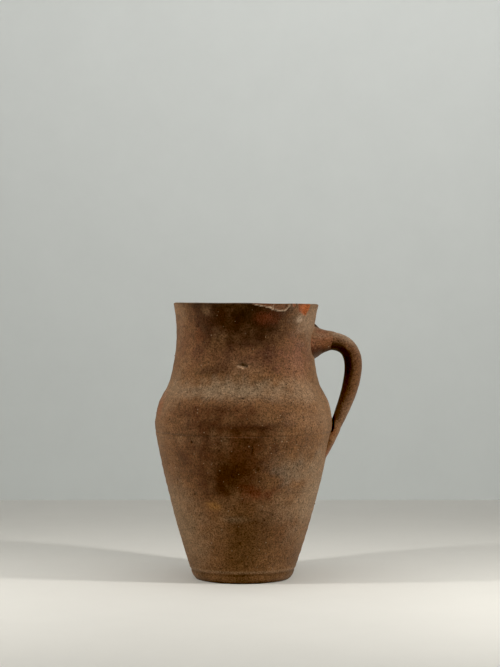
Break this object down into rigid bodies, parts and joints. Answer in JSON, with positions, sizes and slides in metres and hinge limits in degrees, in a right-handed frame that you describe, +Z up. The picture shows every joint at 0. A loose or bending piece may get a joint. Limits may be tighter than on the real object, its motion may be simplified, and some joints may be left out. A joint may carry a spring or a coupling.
{
  "type": "ceramic pitcher",
  "caption": "Hand-thrown unglazed clay jug with a wide flared neck, tapering body and a loop handle, for holding and pouring drinks",
  "frame": {"origin": "centre of the flat base, on the ground it stands on", "axes": "+Z up along the jug's axis of turning; the handle stands out along +X; +Y follows by the right hand, so the chipped side of the rim faces -Y"},
  "size_m": [0.1504, 0.129, 0.2],
  "materials": {
    "lower_body": "unglazed fired clay, matt, speckled, fire-marked",
    "upper_body": "unglazed fired clay, matt, smoked round the neck",
    "handle": "unglazed fired clay, matt",
    "neck_wad": "unglazed fired clay, matt, thumbed",
    "belly_wad": "unglazed fired clay, matt, thumbed"
  },
  "bodies": {
    "root": {"lower_body": "lower_body", "upper_body": "upper_body", "handle": "handle", "neck_wad": "neck_wad", "belly_wad": "belly_wad"}
  },
  "joints": []
}
